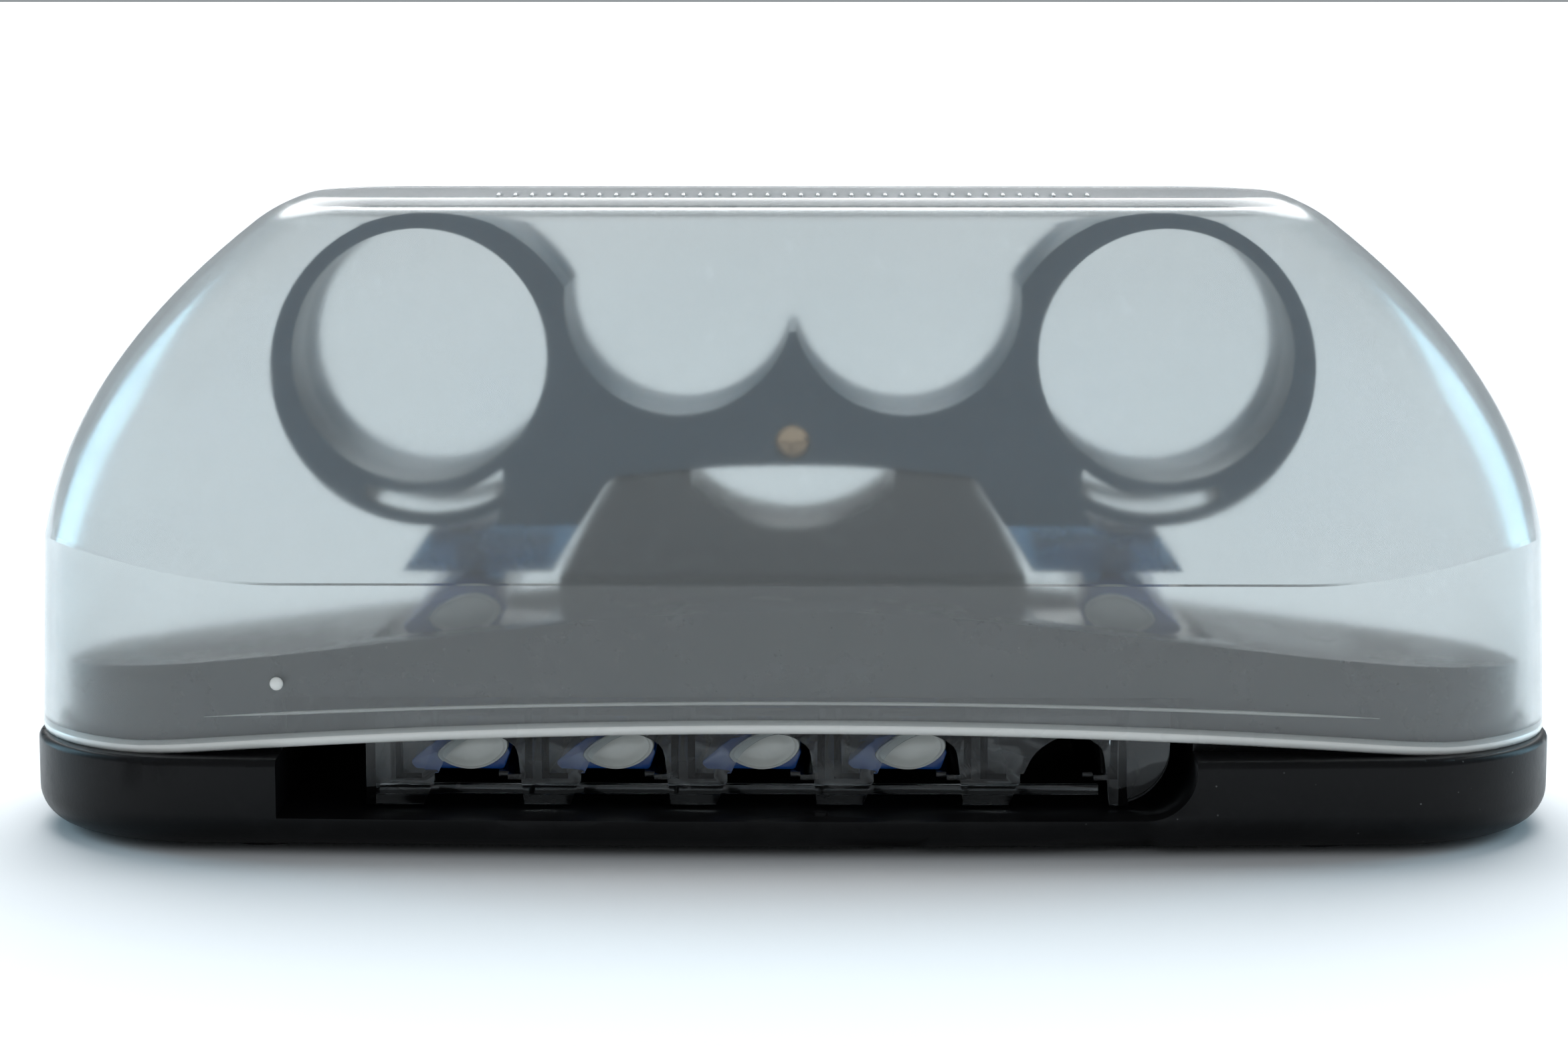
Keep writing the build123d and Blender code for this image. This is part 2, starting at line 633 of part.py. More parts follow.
# -------------------------------------------------------------- refill drawer
with BuildPart() as refill_tray:
    # Top plate, end walls and back plate
    with BuildSketch(Plane.XZ.offset(-TRAY_FRONT)):
        with BuildLine():
            Polyline(
                (TRAY_LEFT, TRAY_BOTTOM), (TRAY_LEFT + TRAY_PLATE, TRAY_BOTTOM),
                (TRAY_LEFT + TRAY_PLATE, TRAY_TOP - TRAY_PLATE),
                (TRAY_RIGHT - TRAY_PLATE, TRAY_TOP - TRAY_PLATE),
                (TRAY_RIGHT - TRAY_PLATE, TRAY_BOTTOM), (TRAY_RIGHT, TRAY_BOTTOM),
                (TRAY_RIGHT, TRAY_TOP), (TRAY_LEFT, TRAY_TOP), close=True,
            )
        make_face()
    extrude(amount=TRAY_FRONT - TRAY_BACK)
    with Locations(((TRAY_LEFT + TRAY_RIGHT) / 2, TRAY_BACK - 0.35, (TRAY_BOTTOM + TRAY_TOP) / 2)):
        Box(TRAY_RIGHT - TRAY_LEFT, 0.7, TRAY_TOP - TRAY_BOTTOM)
    # Front plate, with an arch in front of each cartridge
    with BuildSketch(Plane.XZ.offset(-TRAY_FRONT)):
        with Locations(((TRAY_LEFT + TRAY_RIGHT) / 2, (TRAY_BOTTOM + TRAY_TOP) / 2)):
            Rectangle(TRAY_RIGHT - TRAY_LEFT, TRAY_TOP - TRAY_BOTTOM)
        for index in range(SLOT_COUNT):
            centre = SLOT_FIRST_X + index * SLOT_PITCH
            with BuildLine():
                Line((centre - 5.2, TRAY_BOTTOM - 1), (centre - 2.4, 9.8))
                Spline(
                    (centre - 2.4, 9.8), (centre - 0.6, 11.6), (centre + 2.6, 12.6),
                    (centre + 5.0, 11.5), (centre + 5.8, 9.2),
                    tangents=((0.5, 0.87), (0.12, -1.0)),
                )
                Polyline(
                    (centre + 5.8, 9.2), (centre + 6.4, TRAY_BOTTOM - 1),
                    (centre - 5.2, TRAY_BOTTOM - 1),
                )
            make_face(mode=Mode.SUBTRACT)
    extrude(amount=-TRAY_PLATE)
    # Ribs that hang between the slots, each with a ledge under a cartridge's edge
    with BuildSketch(Plane.XZ.offset(-TRAY_FRONT)):
        for index in range(SLOT_COUNT):
            centre = SLOT_FIRST_X + index * SLOT_PITCH
            for wall_x, ledge_x in ((-7.8, -5.0), (7.2, 3.4)):
                inward = TRAY_RIB if wall_x < 0 else -TRAY_RIB
                with BuildLine():
                    Polyline(
                        (centre + wall_x, TRAY_TOP - 0.5), (centre + wall_x, TRAY_LEDGE_Z - 0.6),
                        (centre + ledge_x, TRAY_LEDGE_Z - 0.6), (centre + ledge_x, TRAY_LEDGE_Z),
                        (centre + wall_x + inward, TRAY_LEDGE_Z),
                        (centre + wall_x + inward, TRAY_TOP - 0.5), close=True,
                    )
                make_face()
    extrude(amount=TRAY_FRONT - TRAY_BACK + 0.3)
    # The ledges stay behind the front plate
    with Locations(*((SLOT_FIRST_X + index * SLOT_PITCH + 0.5, TRAY_FRONT, TRAY_LEDGE_Z - 0.3)
                     for index in range(SLOT_COUNT))):
        Box(8.0, 2 * TRAY_PLATE + 1.0, 0.8, mode=Mode.SUBTRACT)
    # Short finger in front of each slot that keeps a cartridge from riding up
    for index in range(SLOT_COUNT):
        with Locations((SLOT_FIRST_X + index * SLOT_PITCH - 3.4, TRAY_FRONT + 3.5, TRAY_TOP - 1.5)):
            Box(TRAY_RIB, 6.0, 2.6)
    # Windows in the top, where the razor's arm reaches a cartridge
    for index in range(SLOT_COUNT):
        with Locations((SLOT_FIRST_X + index * SLOT_PITCH, REFILL_Y, TRAY_TOP)):
            Box(7.0, 26.0, 4.0, mode=Mode.SUBTRACT)
    # Rail that ties the front plate's feet together
    with Locations(((TRAY_LEFT + TRAY_RAIL_RIGHT) / 2, TRAY_FRONT + TRAY_PLATE + 0.5, 6.3)):
        Box(TRAY_RAIL_RIGHT - TRAY_LEFT, 1.2, 1.0)
    # Quarter-round thumb piece at the right end
    with BuildSketch(Plane.XZ.offset(-TRAY_FRONT)):
        with BuildLine():
            Line((TRAY_RIGHT, TRAY_BOTTOM + 0.4), (TRAY_RIGHT, TRAY_TOP))
            Line((TRAY_RIGHT, TRAY_TOP), (TRAY_TAB_RIGHT, TRAY_TOP))
            Line((TRAY_TAB_RIGHT, TRAY_TOP), (TRAY_TAB_RIGHT, 10.6))
            RadiusArc((TRAY_TAB_RIGHT, 10.6), (TRAY_RIGHT, TRAY_BOTTOM + 0.4), 6.2)
        make_face()
    extrude(amount=-3.0)
save(refill_tray.part, "refill_tray")
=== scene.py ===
"""Looks for a razor storage case: frosted lid, black base, razor and refill drawer.

Metres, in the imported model's frame: +Z up, the front faces -Y, +X to the right.
"""

import math

import bmesh
import bpy
import numpy as np
from mathutils import Matrix, Vector


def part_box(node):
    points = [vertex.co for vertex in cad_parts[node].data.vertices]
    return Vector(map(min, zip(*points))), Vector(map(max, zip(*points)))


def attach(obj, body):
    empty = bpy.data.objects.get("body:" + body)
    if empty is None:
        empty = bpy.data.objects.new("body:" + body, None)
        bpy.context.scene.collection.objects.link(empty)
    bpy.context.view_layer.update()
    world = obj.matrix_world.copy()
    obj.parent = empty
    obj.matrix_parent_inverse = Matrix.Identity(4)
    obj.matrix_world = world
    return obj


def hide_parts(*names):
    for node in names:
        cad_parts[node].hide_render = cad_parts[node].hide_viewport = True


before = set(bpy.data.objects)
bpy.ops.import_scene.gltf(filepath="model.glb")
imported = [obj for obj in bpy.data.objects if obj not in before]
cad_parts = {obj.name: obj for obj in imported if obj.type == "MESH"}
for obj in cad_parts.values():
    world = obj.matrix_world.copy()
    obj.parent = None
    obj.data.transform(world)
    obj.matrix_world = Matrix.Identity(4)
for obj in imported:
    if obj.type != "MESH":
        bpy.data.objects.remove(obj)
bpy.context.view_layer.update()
MM = 0.001
SIDES = (("left", -1), ("right", 1))
CARTRIDGES = ("refill_1", "refill_2", "refill_3", "refill_4", "head_left", "head_right")


# ------------------------------------------------------------------ shader groups
def new_group(name, inputs, outputs):
    """Empty shader group with named float inputs and outputs of the given kinds."""
    group = bpy.data.node_groups.new(name, "ShaderNodeTree")
    for label, value in inputs.items():
        socket = group.interface.new_socket(label, in_out="INPUT", socket_type="NodeSocketFloat")
        socket.default_value = value
    for label, kind in outputs.items():
        group.interface.new_socket(label, in_out="OUTPUT", socket_type="NodeSocket" + kind)
    entry = group.nodes.new("NodeGroupInput")
    leave = group.nodes.new("NodeGroupOutput")
    return group, entry, leave


def node(tree, kind, **values):
    """New node; values set its properties, or its sockets where the name is a socket's."""
    made = tree.nodes.new(kind)
    for label, value in values.items():
        if hasattr(made, label):
            setattr(made, label, value)
        else:
            made.inputs[label.replace("_", " ")].default_value = value
    return made


def noise(tree, coords, scale, detail=4.0, roughness=0.6):
    """Noise texture on the given coordinates."""
    made = node(tree, "ShaderNodeTexNoise", Scale=scale, Detail=detail, Roughness=roughness)
    tree.links.new(coords, made.inputs["Vector"])
    return made


def remap(tree, value, low, high, to_low, to_high):
    """Map Range from low..high to to_low..to_high, clamped."""
    made = tree.nodes.new("ShaderNodeMapRange")
    tree.links.new(value, made.inputs["Value"])
    for label, number in zip(("From Min", "From Max", "To Min", "To Max"), (low, high, to_low, to_high)):
        made.inputs[label].default_value = number
    return made.outputs["Result"]


def build_grain_group():
    """Moulded-plastic skin: spark-eroded grain, slow waviness and handling marks."""
    group, entry, leave = new_group(
        "moulded_skin",
        {"Grain Scale": 2400.0, "Grain": 0.35, "Waviness": 0.15, "Handling": 0.5},
        {"Height": "Float", "Marks": "Float", "Dust": "Float"},
    )
    coords = node(group, "ShaderNodeTexCoord").outputs["Object"]
    grain = noise(group, coords, 2400.0, 3.0, 0.55)
    group.links.new(entry.outputs["Grain Scale"], grain.inputs["Scale"])
    waves = noise(group, coords, 38.0, 2.0, 0.4)
    fine = node(group, "ShaderNodeMath", operation="MULTIPLY")
    group.links.new(grain.outputs["Fac"], fine.inputs[0])
    group.links.new(entry.outputs["Grain"], fine.inputs[1])
    slow = node(group, "ShaderNodeMath", operation="MULTIPLY")
    group.links.new(waves.outputs["Fac"], slow.inputs[0])
    group.links.new(entry.outputs["Waviness"], slow.inputs[1])
    height = node(group, "ShaderNodeMath", operation="ADD")
    group.links.new(fine.outputs[0], height.inputs[0])
    group.links.new(slow.outputs[0], height.inputs[1])
    group.links.new(height.outputs[0], leave.inputs["Height"])
    smears = noise(group, coords, 95.0, 6.0, 0.7)
    smear_mask = remap(group, smears.outputs["Fac"], 0.48, 0.68, 0.0, 1.0)
    marks = node(group, "ShaderNodeMath", operation="MULTIPLY")
    group.links.new(smear_mask, marks.inputs[0])
    group.links.new(entry.outputs["Handling"], marks.inputs[1])
    group.links.new(marks.outputs[0], leave.inputs["Marks"])
    specks = node(group, "ShaderNodeTexVoronoi", Scale=520.0)
    group.links.new(coords, specks.inputs["Vector"])
    dust = remap(group, specks.outputs["Distance"], 0.02, 0.07, 1.0, 0.0)
    patches = remap(group, waves.outputs["Fac"], 0.5, 0.62, 0.0, 1.0)
    dusty = node(group, "ShaderNodeMath", operation="MULTIPLY")
    group.links.new(dust, dusty.inputs[0])
    group.links.new(patches, dusty.inputs[1])
    group.links.new(dusty.outputs[0], leave.inputs["Dust"])
    return group


def build_scratch_group():
    """Hairline scratches along one direction, as a mask from 0 to 1."""
    group, entry, leave = new_group("hairline_scratches", {"Density": 0.5}, {"Scratches": "Float"})
    coords = node(group, "ShaderNodeTexCoord").outputs["Object"]
    turned = node(group, "ShaderNodeMapping", Rotation=(0.3, 0.5, 0.9), Scale=(900.0, 40.0, 900.0))
    group.links.new(coords, turned.inputs["Vector"])
    lines = noise(group, turned.outputs["Vector"], 1.0, 14.0, 0.3)
    mask = remap(group, lines.outputs["Fac"], 0.66, 0.74, 0.0, 1.0)
    scaled = node(group, "ShaderNodeMath", operation="MULTIPLY")
    group.links.new(mask, scaled.inputs[0])
    group.links.new(entry.outputs["Density"], scaled.inputs[1])
    group.links.new(scaled.outputs[0], leave.inputs["Scratches"])
    return group


SKIN = build_grain_group()
SCRATCHES = build_scratch_group()


def blank_material(name):
    """Material with one Principled shader; gives the material, its tree and that shader."""
    made = bpy.data.materials.new(name)
    made.use_nodes = True
    tree = made.node_tree
    tree.nodes.clear()
    shader = tree.nodes.new("ShaderNodeBsdfPrincipled")
    output = tree.nodes.new("ShaderNodeOutputMaterial")
    tree.links.new(shader.outputs["BSDF"], output.inputs["Surface"])
    return made, tree, shader


def place_group(tree, group, **values):
    """Group node with its inputs set."""
    made = tree.nodes.new("ShaderNodeGroup")
    made.node_tree = group
    for label, value in values.items():
        made.inputs[label.replace("_", " ")].default_value = value
    return made


def mix_colours(tree, mask, first, second):
    """Colour mix by a mask; first and second are colours or sockets."""
    made = node(tree, "ShaderNodeMix", data_type="RGBA")
    tree.links.new(mask, made.inputs["Factor"])
    for label, colour in (("A", first), ("B", second)):
        socket = [s for s in made.inputs if s.name == label and s.type == "RGBA"][0]
        if isinstance(colour, bpy.types.NodeSocket):
            tree.links.new(colour, socket)
        else:
            socket.default_value = (*colour, 1.0)
    return [s for s in made.outputs if s.type == "RGBA"][0]


def add_bump(tree, shader, height, strength, distance):
    """Bump from a height socket into the shader's normal."""
    bump = node(tree, "ShaderNodeBump", Strength=strength, Distance=distance)
    tree.links.new(height, bump.inputs["Height"])
    tree.links.new(bump.outputs["Normal"], shader.inputs["Normal"])


def plastic(name, colour, worn, roughness, grain=0.35, scale=2400.0, bump=0.25, handling=0.5,
            coat=0.0, subsurface=0.0, specular=0.5, through=0.0, painted_top_light=None):
    """Moulded plastic: grain in the bump, marks in roughness, dust and wear in colour.

    The last argument, if given, is a colour of painted light: a lighter grey painted on what stands up
    above the deck's crown, in place of the light and haze that part catches.
    """
    made, tree, shader = blank_material(name)
    skin = place_group(tree, SKIN, Grain_Scale=scale, Grain=grain, Handling=handling)
    tinted = mix_colours(tree, skin.outputs["Marks"], colour, worn)
    if painted_top_light:
        coords = node(tree, "ShaderNodeTexCoord").outputs["Object"]
        place = node(tree, "ShaderNodeSeparateXYZ")
        tree.links.new(coords, place.inputs["Vector"])
        # painted light: what stands above the deck's crown is painted lighter, as if lit
        painted_top_mask = remap(tree, place.outputs["Z"], 0.0262, 0.0272, 0.0, 1.0)
        tinted = mix_colours(tree, painted_top_mask, tinted, painted_top_light)
    dust_colour = tuple(0.6 * c + 0.12 for c in worn)
    dusted = mix_colours(tree, skin.outputs["Dust"], tinted, dust_colour)
    tree.links.new(dusted, shader.inputs["Base Color"])
    rough = remap(tree, skin.outputs["Marks"], 0.0, 1.0, roughness, min(1.0, roughness + 0.16))
    tree.links.new(rough, shader.inputs["Roughness"])
    add_bump(tree, shader, skin.outputs["Height"], bump, 0.00012)
    shader.inputs["Coat Weight"].default_value = coat
    shader.inputs["Coat Roughness"].default_value = 0.12
    shader.inputs["Specular IOR Level"].default_value = specular
    shader.inputs["Transmission Weight"].default_value = through
    if subsurface:
        shader.inputs["Subsurface Weight"].default_value = subsurface
        shader.inputs["Subsurface Radius"].default_value = (0.002, 0.002, 0.002)
    return made


def metal(name, colour, roughness, stretch):
    """Drawn or ground steel with fine lines along one axis."""
    made, tree, shader = blank_material(name)
    coords = node(tree, "ShaderNodeTexCoord").outputs["Object"]
    lines = node(tree, "ShaderNodeMapping", Scale=stretch)
    tree.links.new(coords, lines.inputs["Vector"])
    streaks = noise(tree, lines.outputs["Vector"], 1.0, 3.0, 0.6)
    darker = tuple(0.72 * c for c in colour)
    tree.links.new(mix_colours(tree, streaks.outputs["Fac"], darker, colour), shader.inputs["Base Color"])
    rough = remap(tree, streaks.outputs["Fac"], 0.3, 0.7, roughness, roughness + 0.14)
    tree.links.new(rough, shader.inputs["Roughness"])
    shader.inputs["Metallic"].default_value = 1.0
    add_bump(tree, shader, streaks.outputs["Fac"], 0.15, 0.00005)
    return made


def frosted_polypropylene():
    """Milky translucent lid: see-through with a veil, finer where it was polished."""
    made, tree, shader = blank_material("frosted_polypropylene")
    coords = node(tree, "ShaderNodeTexCoord").outputs["Object"]
    clouds = noise(tree, coords, 24.0, 3.0, 0.5)
    flow = node(tree, "ShaderNodeMapping", Scale=(18.0, 18.0, 150.0))
    tree.links.new(coords, flow.inputs["Vector"])
    streaks = noise(tree, flow.outputs["Vector"], 1.0, 3.0, 0.6)
    colour = mix_colours(tree, clouds.outputs["Fac"], (0.77, 0.80, 0.80), (0.85, 0.865, 0.86))
    scratches = place_group(tree, SCRATCHES, Density=0.25)
    scratched = mix_colours(tree, scratches.outputs["Scratches"], colour, (0.93, 0.95, 0.96))
    tree.links.new(scratched, shader.inputs["Base Color"])
    rough = remap(tree, streaks.outputs["Fac"], 0.35, 0.7, 0.13, 0.2)
    tree.links.new(rough, shader.inputs["Roughness"])
    skin = place_group(tree, SKIN, Grain_Scale=1500.0, Grain=0.3, Waviness=0.5)
    add_bump(tree, shader, skin.outputs["Height"], 0.12, 0.0001)
    shader.inputs["Transmission Weight"].default_value = 0.88
    shader.inputs["IOR"].default_value = 1.3
    shader.inputs["Coat Weight"].default_value = 0.25
    shader.inputs["Coat Roughness"].default_value = 0.2
    return made


def clear_polystyrene():
    """Clear brittle plastic of the drawer, faintly tinted, with moulding ripples."""
    made, tree, shader = blank_material("clear_polystyrene")
    coords = node(tree, "ShaderNodeTexCoord").outputs["Object"]
    ripples = noise(tree, coords, 160.0, 2.0, 0.4)
    scratches = place_group(tree, SCRATCHES, Density=0.5)
    tint = mix_colours(tree, scratches.outputs["Scratches"], (0.87, 0.91, 0.93), (0.95, 0.97, 0.98))
    tree.links.new(tint, shader.inputs["Base Color"])
    rough = remap(tree, scratches.outputs["Scratches"], 0.0, 0.5, 0.03, 0.22)
    tree.links.new(rough, shader.inputs["Roughness"])
    add_bump(tree, shader, ripples.outputs["Fac"], 0.18, 0.0002)
    shader.inputs["Transmission Weight"].default_value = 1.0
    shader.inputs["IOR"].default_value = 1.43
    return made


def waxy_strip():
    """Lubricating strip: soft green wax with a fibrous face."""
    made, tree, shader = blank_material("lubricating_strip")
    coords = node(tree, "ShaderNodeTexCoord").outputs["Object"]
    fibres = node(tree, "ShaderNodeMapping", Scale=(1500.0, 220.0, 1500.0))
    tree.links.new(coords, fibres.inputs["Vector"])
    weave = noise(tree, fibres.outputs["Vector"], 1.0, 4.0, 0.65)
    colour = mix_colours(tree, weave.outputs["Fac"], (0.05, 0.26, 0.16), (0.2, 0.52, 0.36))
    tree.links.new(colour, shader.inputs["Base Color"])
    rough = remap(tree, weave.outputs["Fac"], 0.3, 0.7, 0.4, 0.62)
    tree.links.new(rough, shader.inputs["Roughness"])
    add_bump(tree, shader, weave.outputs["Fac"], 0.3, 0.0001)
    shader.inputs["Subsurface Weight"].default_value = 0.3
    shader.inputs["Subsurface Radius"].default_value = (0.001, 0.001, 0.001)
    return made


base_black = plastic("base_black", (0.005, 0.005, 0.0055), (0.012, 0.012, 0.013), 0.32,
                     scale=1900.0, bump=0.3, handling=0.6, specular=0.16)
# the deck's crown is painted a lighter grey: painted light, not the plastic's own colour
deck_black = plastic("deck_black", (0.006, 0.006, 0.0065), (0.014, 0.014, 0.015), 0.25,
                     scale=2200.0, bump=0.2, handling=0.4, specular=0.35,
                     painted_top_light=(0.115, 0.125, 0.130))
grip_slate = plastic("grip_slate", (0.016, 0.085, 0.150), (0.028, 0.105, 0.175), 0.36,
                     scale=1500.0, bump=0.35, handling=0.7)
cartridge_blue = plastic("cartridge_blue", (0.006, 0.06, 0.26), (0.014, 0.10, 0.34), 0.2,
                         grain=0.15, bump=0.12, handling=0.4, coat=0.3, subsurface=0.1)
carrier_blue = plastic("carrier_blue", (0.16, 0.36, 0.6), (0.22, 0.42, 0.66), 0.26,
                       grain=0.2, bump=0.15, handling=0.4, coat=0.2, through=0.7)
cap_white = plastic("cap_white", (0.56, 0.575, 0.545), (0.44, 0.46, 0.44), 0.22, grain=0.2,
                    bump=0.1, handling=0.5, coat=0.4, subsurface=0.2)
guard_rubber = plastic("guard_rubber", (0.02, 0.06, 0.16), (0.04, 0.09, 0.2), 0.55, grain=0.5,
                       scale=3200.0, bump=0.3)
foot_rubber = plastic("foot_rubber", (0.02, 0.02, 0.021), (0.05, 0.05, 0.05), 0.75, grain=0.6,
                      scale=1700.0, bump=0.5, specular=0.3)
blade_steel = metal("blade_steel", (0.78, 0.79, 0.81), 0.14, (3000.0, 60.0, 3000.0))
pin_steel = metal("pin_steel", (0.62, 0.62, 0.64), 0.24, (2500.0, 90.0, 2500.0))
spring_steel = metal("spring_steel", (0.52, 0.52, 0.55), 0.3, (1800.0, 1800.0, 200.0))
screw_steel = metal("screw_steel", (0.66, 0.63, 0.58), 0.3, (900.0, 900.0, 900.0))
screw_brass = metal("screw_brass", (0.86, 0.6, 0.38), 0.26, (900.0, 900.0, 900.0))
lid_frost = frosted_polypropylene()
tray_clear = clear_polystyrene()
strip_green = waxy_strip()


# ---------------------------------------------------------------------- mesh tools
def link_object(name, mesh, material):
    """Object at the origin with one material."""
    made = bpy.data.objects.new(name, mesh)
    bpy.context.scene.collection.objects.link(made)
    mesh.materials.clear()
    mesh.materials.append(material)
    return made


def mesh_from_bmesh(name, source):
    """Mesh data from a bmesh, which is freed."""
    mesh = bpy.data.meshes.new(name)
    source.to_mesh(mesh)
    source.free()
    return mesh


def smooth_by_angle(mesh, degrees):
    """Smooth shading, with edges sharper than the angle kept sharp."""
    edit = bmesh.new()
    edit.from_mesh(mesh)
    limit = math.radians(degrees)
    for face in edit.faces:
        face.smooth = True
    for edge in edit.edges:
        edge.smooth = len(edge.link_faces) == 2 and edge.calc_face_angle(0.0) < limit
    edit.to_mesh(mesh)
    edit.free()


def apply_modifiers(made):
    """Evaluates an object's modifiers into its mesh."""
    depsgraph = bpy.context.evaluated_depsgraph_get()
    result = bpy.data.meshes.new_from_object(made.evaluated_get(depsgraph))
    made.modifiers.clear()
    old = made.data
    made.data = result
    bpy.data.meshes.remove(old)


WELD_DISTANCE = 2e-6
FLAT_ANGLE = math.radians(0.6)
SMOOTH_ANGLE = 34.0


def refine(name, body, material, bevel=0.25, segments=2, angle=32.0):
    """Detailed stand-in for a CAD node: welded, cleaned, its edges rounded (bevel in mm)."""
    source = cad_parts[name]
    edit = bmesh.new()
    edit.from_mesh(source.data)
    bmesh.ops.remove_doubles(edit, verts=edit.verts, dist=WELD_DISTANCE)
    bmesh.ops.dissolve_limit(edit, angle_limit=FLAT_ANGLE, verts=edit.verts, edges=edit.edges)
    made = link_object("fine_" + name, mesh_from_bmesh("fine_" + name, edit), material)
    if bevel:
        rounding = made.modifiers.new("edges", "BEVEL")
        rounding.width = bevel * MM
        rounding.segments = segments
        rounding.limit_method = "ANGLE"
        rounding.angle_limit = math.radians(angle)
        rounding.use_clamp_overlap = True
        apply_modifiers(made)
    smooth_by_angle(made.data, SMOOTH_ANGLE)
    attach(made, body)
    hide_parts(name)


def dress(name, material):
    """Gives a CAD node that keeps its shape its detailed material."""
    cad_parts[name].material_slots[0].material = material


# ----------------------------------------------------------------------------- lid
# Levels of the lid's outer wall: height, half width, front, back, corner radii (mm)
LID_LEVELS = np.array([
    (11.0, 85.1, -34.4, 32.4, 20.6, 42.0),
    (31.0, 84.5, -33.8, 31.8, 20.6, 42.0),
    (44.0, 80.9, -28.4, 27.2, 19.0, 32.0),
    (57.0, 72.2, -21.8, 20.6, 15.0, 22.0),
    (70.0, 57.4, -15.6, 14.0, 11.0, 13.0),
])
LID_WALL = 1.4
LID_TOP = 70.0
LID_TOP_ROUND = 3.0
LID_EDGE_RISE = 2.6
LID_EDGE_HALF_SPAN = 72.0
RIM_DROPS = ((0.15, 0.18), (0.5, 0.28), (0.85, 0.18))
CREASE_FRONT = 29.2
CREASE_SIDE = 32.6
CREASE_RISE_START = 56.0
CREASE_RISE_LENGTH = 28.0
CORNER_STEPS = 14
FRONT_STEPS = 48
SKIRT_SHARES = (0.08, 0.16, 0.3, 0.5, 0.7, 0.86, 0.95, 1.0)
WALL_STEPS = 22
ROUND_STEPS = 10
ROUND_INWARD = 0.8


def lid_section(height):
    """Half width, front, back and corner radii of the lid at a height."""
    if height <= LID_LEVELS[1, 0]:
        return [np.interp(height, LID_LEVELS[:2, 0], LID_LEVELS[:2, k]) for k in range(1, 6)]
    heights = LID_LEVELS[1:, 0]
    return [np.polyval(np.polyfit(heights, LID_LEVELS[1:, k], 3), height) for k in range(1, 6)]


def d_outline(half_width, front, back, front_radius, back_radius):
    """Points of the D-shaped outline, counter-clockwise from the middle of the front."""
    points = []
    front_end = half_width - front_radius
    back_end = half_width - back_radius
    half = FRONT_STEPS // 2
    points += [(front_end * i / half, front) for i in range(half)]
    for i in range(CORNER_STEPS):
        turn = -math.pi / 2 + math.pi / 2 * i / CORNER_STEPS
        points.append((front_end + front_radius * math.cos(turn),
                       front + front_radius + front_radius * math.sin(turn)))
    for i in range(CORNER_STEPS + 1):
        turn = math.pi / 2 * i / CORNER_STEPS
        points.append((back_end + back_radius * math.cos(turn),
                       back - back_radius + back_radius * math.sin(turn)))
    points += [(back_end * (1 - i / half), back) for i in range(1, half)]
    mirrored = [(-x, y) for x, y in reversed(points[1:])]
    return points + [(0.0, back)] + mirrored


def lid_ring(height, inset, shape=None):
    """One ring of the lid's wall; shape moves each point after it is placed."""
    half_width, front, back, front_radius, back_radius = lid_section(height)
    flat = d_outline(half_width - inset, front + inset, back - inset,
                     front_radius - inset, back_radius - inset)
    ring = [Vector((x, y, height)) for x, y in flat]
    return [shape(p) for p in ring] if shape else ring


def arched_edge(point):
    """The lower edge rises between the corners."""
    share = max(0.0, 1.0 - (point.x / LID_EDGE_HALF_SPAN) ** 2)
    return Vector((point.x, point.y, LID_LEVELS[0, 0] + LID_EDGE_RISE * share))


def crease_height(point):
    """Height of the crease: level along the front, rising round the corners."""
    share = min(1.0, max(0.0, (abs(point.x) - CREASE_RISE_START) / CREASE_RISE_LENGTH))
    share = share * share * (3 - 2 * share)
    return CREASE_FRONT + (CREASE_SIDE - CREASE_FRONT) * share


def wall_rings(inset, top, rounding):
    """Rings of one face of the lid's wall, from the lower edge to the top."""
    rings = [lid_ring(LID_LEVELS[0, 0], inset, arched_edge)]
    for share in SKIRT_SHARES:
        ring = []
        for low, at_crease in zip(rings[0], lid_ring(LID_LEVELS[1, 0], inset)):
            high = Vector((at_crease.x, at_crease.y, crease_height(at_crease)))
            ring.append(low.lerp(high, share))
        rings.append(ring)
    shoulder = top - rounding
    crease_ring = rings[-1]
    for i in range(1, WALL_STEPS + 1):
        share = i / WALL_STEPS
        height = LID_LEVELS[1, 0] + (shoulder - LID_LEVELS[1, 0]) * share
        offset = np.array([p.z for p in crease_ring]) - LID_LEVELS[1, 0]
        fade = (1 - share) ** 2
        ring = [p + Vector((0, 0, o * fade)) for p, o in zip(lid_ring(height, inset), offset)]
        rings.append(ring)
    for i in range(1, ROUND_STEPS + 1):
        turn = math.pi / 2 * i / ROUND_STEPS
        height = shoulder + rounding * math.sin(turn)
        rings.append(lid_ring(height, inset + rounding * (1 - math.cos(turn)) * ROUND_INWARD))
    return rings


def loft(edit, rings, flip=False):
    """Quads between successive closed rings; gives the vertices of each ring."""
    rows = [[edit.verts.new(p * MM) for p in ring] for ring in rings]
    for low, high in zip(rows, rows[1:]):
        for i in range(len(low)):
            j = (i + 1) % len(low)
            corners = (low[i], low[j], high[j], high[i])
            edit.faces.new(reversed(corners) if flip else corners)
    return rows


